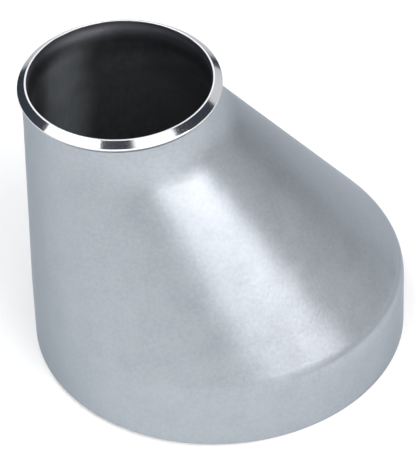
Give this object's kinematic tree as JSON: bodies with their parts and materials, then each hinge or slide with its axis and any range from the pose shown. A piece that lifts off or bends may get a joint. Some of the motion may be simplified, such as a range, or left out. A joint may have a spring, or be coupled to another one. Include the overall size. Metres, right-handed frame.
{
  "type": "eccentric butt-weld pipe reducer",
  "caption": "Eccentric pipe reducer: a wide round end, a flat side, a long rounded slope, a short drawn-in neck and bevelled weld ends.",
  "frame": {"origin": "centre of the large end's face", "axes": "+Z along the large end's axis, towards the small end; -X is the flat side, +X the sloping side; the part is the same on both sides of the XZ plane"},
  "size_m": [0.1142, 0.1142, 0.102],
  "materials": {
    "pickled_stainless": "blasted and pickled satin grey, with bright machined weld bevels and a darker bore"
  },
  "bodies": {
    "root": {"reducer_shell": "pickled_stainless"}
  },
  "joints": []
}
